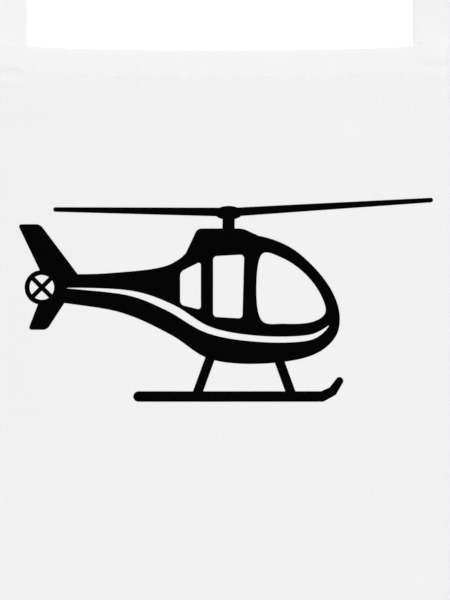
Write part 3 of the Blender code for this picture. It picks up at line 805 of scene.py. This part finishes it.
def signShape(kind, numbers, height):  # one closed prism, seen from the front
    bm = bmesh.new()
    if kind == "oval":
        x, z, radiusX, radiusZ = numbers
        place = Matrix.Translation((x, z, 0)) @ Matrix.Diagonal((radiusX, radiusZ, 1, 1))
        bmesh.ops.create_circle(bm, cap_ends=True, segments=96, radius=1, matrix=place)
    else:
        outline = {"curve": curvePoints, "bar": lambda ends: barPoints(*ends)}.get(kind, list)
        face = bm.faces.new([bm.verts.new((x, z, 0)) for x, z in outline(numbers)])
        if kind == "corners":
            bmesh.ops.bevel(
                bm, geom=face.verts[:], offset=sign["corner"], segments=5, profile=0.5,
                affect="VERTICES", material=-1,
            )
    grown = bmesh.ops.extrude_face_region(bm, geom=bm.faces[:])
    for vert in grown["geom"]:
        if isinstance(vert, bmesh.types.BMVert):
            vert.co.z = height
    place = Matrix.Translation((0, 0, -height / 2)) @ Matrix.Diagonal((mm, mm, 1, 1))
    bmesh.ops.transform(bm, matrix=place, verts=bm.verts)
    bmesh.ops.recalc_face_normals(bm, faces=bm.faces)
    return newPiece("signShape", bm)


def makePrint():
    height = {"UNION": sign["film"], "DIFFERENCE": 3 * sign["film"]}
    film, *tools = [signShape(kind, numbers, height[how]) for _, how, kind, numbers in sign["shapes"]]
    for tool, (_, how, _, _) in zip(tools, sign["shapes"][1:]):
        modifier = film.modifiers.new("shape", "BOOLEAN")
        modifier.operation, modifier.solver, modifier.object = how, "MANIFOLD", tool
    shaped = bpy.data.meshes.new_from_object(film.evaluated_get(bpy.context.evaluated_depsgraph_get()))
    for tool in (*tools, film):
        bpy.data.objects.remove(tool, do_unlink=True)
    bm = bmesh.new()
    bm.from_mesh(shaped)
    for axis in (Vector((1, 0, 0)), Vector((0, 1, 0))):
        reach = [v.co.dot(axis) for v in bm.verts]
        lowest, count = min(reach), int((max(reach) - min(reach)) / sign["cell"])
        for k in range(1, count + 1):
            parts = bm.verts[:] + bm.edges[:] + bm.faces[:]
            co = axis * (lowest + k * sign["cell"])
            bmesh.ops.bisect_plane(bm, geom=parts, plane_co=co, plane_no=axis)
    flat = np.array([v.co for v in bm.verts])
    u = flat[:, 0] + sign["middle"][0]
    level = clothPoint(0.0, sign["middle"][1])[0, 2] + flat[:, 1]
    depth = sign["middle"][1] - flat[:, 1]
    for _ in range(4):  # closer each time to the depth that hangs at this level
        depth = depth + clothPoint(u, depth)[:, 2] - level
    behind = -cut["thick"] / 2 - sign["lift"] - sign["film"] / 2 - flat[:, 2]
    for vert, co in zip(bm.verts, clothSurface(u, depth, behind)):
        vert.co = co
    bmesh.ops.recalc_face_normals(bm, faces=bm.faces)
    return finish(newPiece("printed_sign", bm, 40), "apron", inkLook)


printedSign = makePrint()
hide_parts("helicopter_print")
print("print made")


# Straps and their fittings: stations are (middle, across, out of the face), read down the strap
right, toBack, up = np.eye(3)
strap = {
    "width": hang["strapWidth"],
    "span": hang["strapSpan"],
    "thick": 0.0012,
    "bendRadius": 0.022,
    "footEnd": -0.2498,
    "fineTop": -0.226,  # short steps from the foot to here, past where the strap leaves the hem
    "fineStep": 0.0006,
    "bendZ": -0.232,
    "blendHalf": 0.003,
    "twistLeft": (-0.170, -0.040),
    "twistRight": (-0.073, -0.023),
    "tabTop": -0.2255,  # above this the tab's legs move forward, over the length below
    "tabEase": 0.045,
    "tail": 0.006,
    "tailStep": 0.001,
    "loopStep": 0.002,
    "gap": 0.0003,
    "rearAside": 0.0004,
    "returnShort": 0.0005,
    "step": 0.004,
    "box": (0.0018, 0.0128, 0.0040),  # a foot's sewn box: from and to above its end, in from the edges
}
selvedge = {
    "rim": (0, 0.04, 0.2, 0.5, 0.9),  # places in from a strap's edge in half thicknesses, then in metres
    "inner": (0.0015, 0.0022, 0.0029, 0.0042, 0.0070, 0.0100),
    "clear": 0.0005,
    "seam": 0.0022,
    "groove": (0.16, 0.0006),  # along the seam, in half thicknesses, and its half width
    "hollow": (0.12, 0.003, 0.008),  # between the seams, its full depth eased in between these
    "stitchAt": 0.40,  # from the middle in thicknesses
    "endStitchAt": 0.44,
}
fittings = {
    "ringWire": 0.00125,
    "ringWindow": (0.030, 0.010),
    "ringCorner": 0.003,
    "sliderWire": 0.0009,
    "barWire": 0.00088,
    "sliderCorner": 0.0022,
    "sliderDip": (0.2, 0.8),
    "dipSteps": 17,
    "sides": 20,
}
ringLow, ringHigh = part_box("ring")
sliderLow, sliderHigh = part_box("slider")
returnLow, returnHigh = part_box("strap_return")
loopLow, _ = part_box("strap_end_loop")
layer = strap["thick"] + strap["gap"]
ringY = (ringLow.y + ringHigh.y) / 2
ringTopBar, ringLowBar = ringHigh.z - fittings["ringWire"], ringLow.z + fittings["ringWire"]
ringTurn = fittings["ringWire"] + strap["gap"] + strap["thick"] / 2
mainY = ringY + ringTurn
sliderTurn = fittings["sliderWire"] + strap["gap"] + strap["thick"] / 2
barY = mainY - layer - sliderTurn
barZ = (sliderLow.z + sliderHigh.z) / 2


def bandPlaces(width):  # places across a strap and its half thickness there, round at the edges
    half, halfThick = width / 2, strap["thick"] / 2
    side = np.append(np.array(selvedge["rim"]) * halfThick, selvedge["inner"])
    side = side[side < half - selvedge["clear"]]
    places = np.concatenate([side - half, [0.0], half - side[::-1]])
    inward = half - np.abs(places)
    rounded = np.sqrt(np.clip(1 - (1 - np.minimum(inward / halfThick, 1)) ** 2, 0, 1))
    deep, halfGroove = selvedge["groove"]
    groove = deep * np.exp(-((inward - selvedge["seam"]) / halfGroove) ** 2)
    hollow, near, far = selvedge["hollow"]
    return places, halfThick * rounded * (1 - groove - hollow * smooth(near, far, inward))


def faceLine(points, out, face, height=selvedge["stitchAt"]):  # a line of stitches on one of a strap's faces
    return points + out * (face * strap["thick"] * height), out * face


def straight(start, end, across, out, step=strap["step"]):
    start, end = np.array(start, float), np.array(end, float)
    count = max(1, round(np.linalg.norm(end - start) / step))
    return [(start + (end - start) * k / count, across, out) for k in range(count + 1)]


def quarterTwist(x, yLow, yHigh, ends, outward, count=36):
    stations = []
    for k in range(count + 1):
        part = k / count
        eased = float(smooth(0, 1, part))
        turned = pi / 2 * eased
        middle = np.array([x, yLow + (yHigh - yLow) * eased, ends[0] + (ends[1] - ends[0]) * part])
        across = np.array([cos(turned), outward * sin(turned), 0])
        stations.append((middle, across, np.cross(across, up)))
    return stations


def halfTurn(centre, radius, first, second, across, count=16, part=1.0):
    # half a turn round centre, from the direction first over second
    stations = []
    for angle in np.linspace(0, pi * part, count + 1):
        out = first * cos(angle) + second * sin(angle)
        stations.append((np.array(centre) + out * radius, across, out))
    return stations


def makeNeckStrap():
    span, fineTop, (low, high) = strap["span"], strap["fineTop"], strap["twistLeft"]
    stations = straight((-span, 0, strap["footEnd"]), (-span, 0, fineTop), right, -toBack, strap["fineStep"])
    stations += straight((-span, 0, fineTop), (-span, 0, low), right, -toBack)
    stations += quarterTwist(-span, 0, 0, strap["twistLeft"], -1)
    radius, bendZ = strap["bendRadius"], strap["thick"] / 2 - strap["bendRadius"]
    rise, fall = (
        halfTurn((side * (span - radius), 0, bendZ), radius, side * right, up, -toBack, 20, 0.5)
        for side in (-1, 1)
    )
    stations += straight((-span, 0, high), rise[0][0], -toBack, -right) + rise
    stations += straight(rise[-1][0], fall[-1][0], -toBack, up) + fall[::-1]
    low, high = strap["twistRight"]
    stations += straight(fall[0][0], (span, 0, high), -toBack, right)
    twisted = quarterTwist(span, mainY, 0, strap["twistRight"], 1)[::-1]
    stations += [(middle, -across, out) for middle, across, out in twisted]
    stations += straight((span, mainY, low), (span, mainY, ringTopBar), -right, toBack)
    stations += halfTurn((span, ringY, ringTopBar), ringTurn, toBack, -up, -right)
    end = stations[-1][0]
    tail = straight(end, end + up * strap["tail"], -right, -toBack, strap["tailStep"])
    return spaced(stations + tail)


def spaced(stations):  # without the stations that repeat the one before
    kept = stations[:1]
    for station in stations[1:]:
        if np.linalg.norm(station[0] - kept[-1][0]) > 1e-5:
            kept.append(station)
    return kept


def makeStrapPiece(name, stations, body=None, blendTo=None):
    piece, middle, across, out = stationBand(name, stations, *bandPlaces(strap["width"]))
    finish(piece, body, strapLook)
    seam = strap["width"] / 2 - selvedge["seam"]
    lines = [faceLine(middle + across * side * seam, out, face) for face in (-1, 1) for side in (-1, 1)]
    thread = stitches(name + "_stitches", lines, body)
    if blendTo:
        for bent in (piece, thread):
            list(blendTo)
            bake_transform(bent)
    return piece, thread


def sewnBlend(x, upper):  # where the strap leaves the hem: the body above, the body below, and a point above and below
    above, below = strap["bendZ"] + strap["blendHalf"], strap["bendZ"] - strap["blendHalf"]
    return (upper, "apron", (x, 0, above), (x, 0, below))


def footBoxes():  # on the back of each strap's sewn end
    low, high, inset = strap["box"]
    half, lift, lines = strap["width"] / 2 - inset, strap["thick"] * selvedge["stitchAt"], []
    for x, backY in ((-strap["span"], lift), (strap["span"], lift + layer)):
        for ends in boxLines(x - half, x + half, strap["footEnd"] + high, strap["footEnd"] + low):
            lines.append((np.array([(x0, backY, z0) for x0, z0 in ends]), np.array([toBack, toBack])))
    return lines


neckBlend, tabBlend = sewnBlend(-strap["span"], "neck"), sewnBlend(strap["span"], "neck")
neckStrap, neckStitches = makeStrapPiece("neck_strap_cloth", makeNeckStrap(), None, neckBlend)
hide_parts("neck_strap", "sewn_strap_end_left")


def makeTab():
    span, foot, clear, eased = strap["span"], strap["footEnd"], strap["tabTop"], strap["tabEase"]

    def leg(y0, y1, out, across, count=16):  # from the foot up, moving forward over the eased stretch
        stations = straight((span, y0, foot), (span, y0, clear), across, out, strap["fineStep"])
        for part in np.arange(1, count + 1) / count:
            y = y0 + (y1 - y0) * float(smooth(0, 1, part))
            stations.append((np.array([span, y, clear + eased * part]), across, out))
        return stations + straight((span, y1, clear + eased), (span, y1, ringLowBar), across, out)

    rear = leg(layer, 0.0, toBack, right)
    over = halfTurn((span, ringY, ringLowBar), ringTurn, toBack, up, right)
    shares = np.append(np.ones(len(rear)), np.linspace(1, 0, len(over)))
    aside = right * strap["rearAside"]
    stations = [(middle + aside * share, *rest) for share, (middle, *rest) in zip(shares, rear + over)]
    return spaced(stations + leg(0.0, -layer, -toBack, right)[::-1])


strapTab, tabStitches = makeStrapPiece("strap_tab_cloth", makeTab(), None, tabBlend)
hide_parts("strap_tab", "sewn_strap_end_right")
footBox = stitches("strap_boxes_back", footBoxes(), "apron")


def makeReturn():
    x, short = strap["span"], strap["gap"] + strap["returnShort"]
    start = (x, ringY - ringTurn, returnLow.z - short)
    end = (x, barY - sliderTurn, returnHigh.z + short)
    return straight(start, end, right, -toBack, strap["loopStep"])


strapReturn, returnStitches = makeStrapPiece("strap_return_cloth", makeReturn(), None, (
    "neck", "adjuster", (strap["span"], 0, returnLow.z), (strap["span"], 0, returnHigh.z),
))
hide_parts("strap_return")


def makeEndLoop():
    x, low, step = strap["span"], loopLow.z, strap["loopStep"]
    front, back = barY - sliderTurn, barY + sliderTurn
    stations = straight((x, front, low), (x, front, barZ), right, -toBack, step)
    stations += halfTurn((x, barY, barZ), sliderTurn, -toBack, up, right)
    return spaced(stations + straight((x, back, barZ), (x, back, low), right, toBack, step))


endLoop, endLoopStitches = makeStrapPiece("strap_end_loop_cloth", makeEndLoop(), "adjuster")
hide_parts("strap_end_loop")
print("neck straps made")


# Metal fittings: bent round wire
def wireAlong(points, radius, closed, bm=None):
    points = np.array([*points, points[0]] if closed else points)
    before, after = (points[-2], points[1]) if closed else (points[0], points[-1])
    heading = unit(np.array([*points[1:], after]) - np.array([before, *points[:-1]]))
    side = unit(np.cross(heading, toBack))
    turns = np.linspace(0, 2 * pi, fittings["sides"] + 1)[:, None, None]
    around = side * np.cos(turns) + np.cross(heading, side) * np.sin(turns)
    return closedSheet(points + radius * around, None, bm)


def roundedLoop(centre, halfX, halfZ, corner, steps=10):
    points = []
    for quarter, (sideX, sideZ) in enumerate(((1, 1), (-1, 1), (-1, -1), (1, -1))):
        for turn in np.linspace(quarter, quarter + 1, steps + 1) * (pi / 2):
            x = sideX * (halfX - corner) + corner * cos(turn)
            z = sideZ * (halfZ - corner) + corner * sin(turn)
            points.append(np.array(centre) + (x, 0, z))
    return points


def makeRing():
    wire = fittings["ringWire"]
    halfX, halfZ = (side / 2 + wire for side in fittings["ringWindow"])
    centre = (strap["span"], ringY, (ringTopBar + ringLowBar) / 2)
    bm = wireAlong(roundedLoop(centre, halfX, halfZ, fittings["ringCorner"]), wire, True)
    return finish(newPiece("strap_ring", bm, 60), "neck", nickelLook)


def makeSlider():
    wire, corner = fittings["sliderWire"], fittings["sliderCorner"]
    halfX = (sliderHigh.x - sliderLow.x) / 2 - wire
    halfZ = (sliderHigh.z - sliderLow.z) / 2 - wire
    backY = sliderHigh.y - wire
    loop = roundedLoop((strap["span"], backY, barZ), halfX, halfZ, corner)
    half, sides = len(loop) // 2, []
    for side in (-1, 1):  # the side wires dip forward to the bar, down the left and up the right
        rises = side * np.linspace(corner - halfZ, halfZ - corner, fittings["dipSteps"])[1:-1]
        dips = smooth(*fittings["sliderDip"], 1 - np.abs(rises) / halfZ)
        sides.append([
            (strap["span"] + side * halfX, backY + (barY - backY) * dip, barZ + rise)
            for rise, dip in zip(rises, dips)
        ])
    bm = wireAlong(loop[:half] + sides[0] + loop[half:] + sides[1], wire, True)
    ends = [(strap["span"] + side * halfX, barY, barZ) for side in (-1, 0, 1)]
    bm = wireAlong(ends, fittings["barWire"], False, bm)
    return finish(newPiece("strap_slider", bm, 60), "adjuster", nickelLook)


ring = makeRing()
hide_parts("ring")
slider = makeSlider()
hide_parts("slider")
print("fittings made")


# Waist ties: sewn behind the waist corners and folded down over a small roll
tie = {
    "width": 0.026,
    "length": 0.700,
    "sewn": 0.017,
    "out": 0.024,
    "fold": 0.002,
    "drop": 0.030,
    "behind": 0.0025,
    "depth": 0.305,
    "rows": (8, 64, 230),  # of the sewn end, the fold and the free length
    "margin": 0.002,
    "ease": (0.02, 0.20),  # the soft curl of the free length grows in between these
    "sway": {-1: (0.0035, 0.0042, 0.21), 1: (-0.0030, 0.0046, -0.17)},  # aside, forward, twist in radians
    "bends": (0.8, 1.3, 1.1),
}


def tieSurface(side, along, across):  # the tie's middle surface and its direction out
    corner = clothPoint(side * cut["skirtHalf"], tie["depth"] + tie["width"] / 2)[0]
    centre = corner + np.array([side * tie["out"], tie["behind"], 0])
    foldLine = np.array([side, 0, -1]) / sqrt(2)
    beyond = np.array([side, 0, 1]) / sqrt(2)
    alongFold, over = (along - across) / sqrt(2), (along + across) / sqrt(2)
    angle = np.clip(over / tie["fold"], 0, pi)
    past = np.maximum(over - pi * tie["fold"], 0)
    reach = np.where(over < 0, over, tie["fold"] * np.sin(angle) - past)[..., None]
    lift = tie["fold"] * (1 - np.cos(angle))[..., None]
    points = centre + foldLine * alongFold[..., None] + beyond * reach + toBack * lift
    return points, toBack * np.cos(angle)[..., None] - beyond * np.sin(angle)[..., None]


def turnedFlat(vectors, angle):  # about the vertical
    x, y, z = np.moveaxis(vectors, -1, 0)
    onX, onY = np.cos(angle), np.sin(angle)
    return np.stack([x * onX - y * onY, x * onY + y * onX, z], axis=-1)


def makeTie(word, side):
    half, margin = tie["width"] / 2, tie["margin"]
    start, folded = -tie["out"] - tie["sewn"], half + pi * tie["fold"] * sqrt(2)
    places = start, -half - margin, folded + margin, start + tie["length"]
    along = [np.linspace(a, b, n)[:-1] for a, b, n in zip(places, places[1:], tie["rows"])]
    along = np.append(np.concatenate(along), places[-1])
    places, thickness = bandPlaces(tie["width"])
    across, down = np.meshgrid(places, along, indexing="ij")
    points, out = tieSurface(side, down, across)
    last = folded + tie["drop"]
    free = smooth(*tie["ease"], down - last)
    phase = 2 * pi * (down - last) / (tie["length"] - last)
    aside, forward, twist = (
        size * free * np.sin(bends * phase) for size, bends in zip(tie["sway"][side], tie["bends"])
    )
    middle = tieSurface(side, along, np.zeros(len(along)))[0]
    points = middle + turnedFlat(points - middle, twist) + np.stack([aside, forward, 0 * free], axis=-1)
    out = turnedFlat(out, twist)
    piece = band(f"waist_tie_cloth_{word}", points, out, thickness, np.stack([across, down], axis=2))
    finish(piece, None, strapLook)
    lines = []
    for face in (-1, 1):
        for edge in (-1, 1):
            row = int(np.argmin(np.abs(places - edge * (half - selvedge["seam"]))))
            lines.append(faceLine(points[row], out[row], face))
        endRow = (slice(5, -5), -3)  # one line across the end
        lines.append(faceLine(points[endRow], out[endRow], face, selvedge["endStitchAt"]))
    inner, outer, top, bottom = tack["tieBox"]
    middle = tie["depth"] + half
    for ends in boxLines(inner, outer, middle - top, middle - bottom):
        reach, rise = np.array(ends).T
        sewn, outwards = tieSurface(side, reach - cut["skirtHalf"] - tie["out"], rise)
        lines.append(faceLine(sewn, outwards, 1, selvedge["endStitchAt"]))
    thread = stitches(f"waist_tie_stitches_{word}", lines, None)
    hinge = np.array(next(j for j in frame["joints"] if j["name"] == f"{word}_tie_swing")["pos_m"])
    above, below = (tuple(hinge + up * over) for over in (strap["blendHalf"], -strap["blendHalf"]))
    for bent in (piece, thread):
        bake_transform(bent)
        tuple(above)
        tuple(below)
    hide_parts(f"tie_end_{word}", f"waist_tie_{word}")
    return piece, thread


ties = {word: makeTie(word, side) for word, side in (("left", -1), ("right", 1))}
print("ties made")


# The blank label: a satin tape folded in two and sewn into the top hem
label = {
    "width": 0.030,
    "columns": 17,
    "step": 0.0012,
    "thick": 0.00016,
    "turn": 0.00022,
    "curl": 0.0022,  # away from the cloth, eased in over the last length from there down
    "curlFrom": 0.012,
    "curlOver": 0.014,
}


def makeLabel():
    low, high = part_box("size_label")
    back, turn, step = high.y - label["thick"], label["turn"], label["step"]
    front = back - 2 * turn
    stations = straight((0, front, high.z), (0, front, low.z), right, -toBack, step)
    stations += halfTurn((0, back - turn, low.z), turn, -toBack, -up, right, 10)
    stations += straight((0, back, low.z), (0, back, high.z), right, toBack, step)
    curled = []
    for middle, *rest in spaced(stations):
        down = high.z - label["curlFrom"] - middle[2]
        away = label["curl"] * float(smooth(0, label["curlOver"], down))
        curled.append((middle + toBack * away, *rest))
    places = np.linspace(-label["width"] / 2, label["width"] / 2, label["columns"])
    half = np.full(len(places), label["thick"] / 2)
    half[[0, -1]] = 0
    piece = stationBand("size_label_tape", curled, places, half)[0]
    return finish(piece, "apron", satinLook)


sizeLabel = makeLabel()
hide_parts("size_label")
print("label made")


for piece, thread in ties.values():
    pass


# Camera, light and floor
photo = {"height": 0.3464, "centre": (0.0028, -0.3831), "distance": 0.9622, "sensor": 36}


def makeCamera():
    data = bpy.data.cameras.new("camera")
    data.sensor_width = photo["sensor"]
    data.lens = photo["sensor"] * photo["distance"] / photo["height"]
    camera = placed("camera", data)
    clothFront = hang["panelY"] - cut["thick"] / 2
    camera.location = (photo["centre"][0], clothFront - photo["distance"], photo["centre"][1])
    camera.rotation_euler = (radians(90), 0, 0)
    bpy.context.scene.camera = camera


softLights = (  # towards the light, how wide it looks in degrees, strength
    ((0.47, -1.0, 0.50), 26, 2.12),
    ((-1.0, -0.8, 0.35), 60, 0.34),
    ((-0.8, 1.4, 1.0), 45, 1.9),
)


def makeLights():
    for towards, width, strength in softLights:
        data = bpy.data.lights.new("soft_light", "SUN")
        data.angle = radians(width)
        data.energy = strength
        light = placed("soft_light", data)
        light.location = towards
        light.rotation_euler = Vector(towards).to_track_quat("Z", "Y").to_euler()


worldLight = {"seen": 1.03, "ambient": 0.310}


def makeWorld():
    world = bpy.data.worlds.new("white_studio")
    bpy.context.scene.world = world
    world.use_nodes = True
    background = world.node_tree.nodes["Background"]
    ambient, seen = worldLight["ambient"], worldLight["seen"]
    strength = Wire(world.node_tree).node("ShaderNodeLightPath").within(ambient, seen - ambient)
    background.inputs["Color"].default_value = (1, 1, 1, 1)
    world.node_tree.links.new(strength.socket, background.inputs["Strength"])


floorSet = {"z": -1.262, "size": 30, "cloud": (3, 3, 3), "tone": (0.57, 0.02), "roughness": 0.9}


def makeFloor():
    bm = bmesh.new()
    place = Matrix.Translation((0, 0, floorSet["z"]))
    bmesh.ops.create_circle(bm, cap_ends=True, segments=96, radius=floorSet["size"] / 2, matrix=place)
    floor = newPiece("floor", bm)
    material, wire = newMaterial("pale_floor", {"Roughness": floorSet["roughness"]})
    tone = objectSpot(wire).noise(floorSet["cloud"]).within(*floorSet["tone"])
    floor.data.materials.append(feed(material, tone.grey()))


makeCamera()
makeLights()
makeWorld()
makeFloor()
bpy.context.scene.view_settings.view_transform = "Standard"
print("camera and light made")
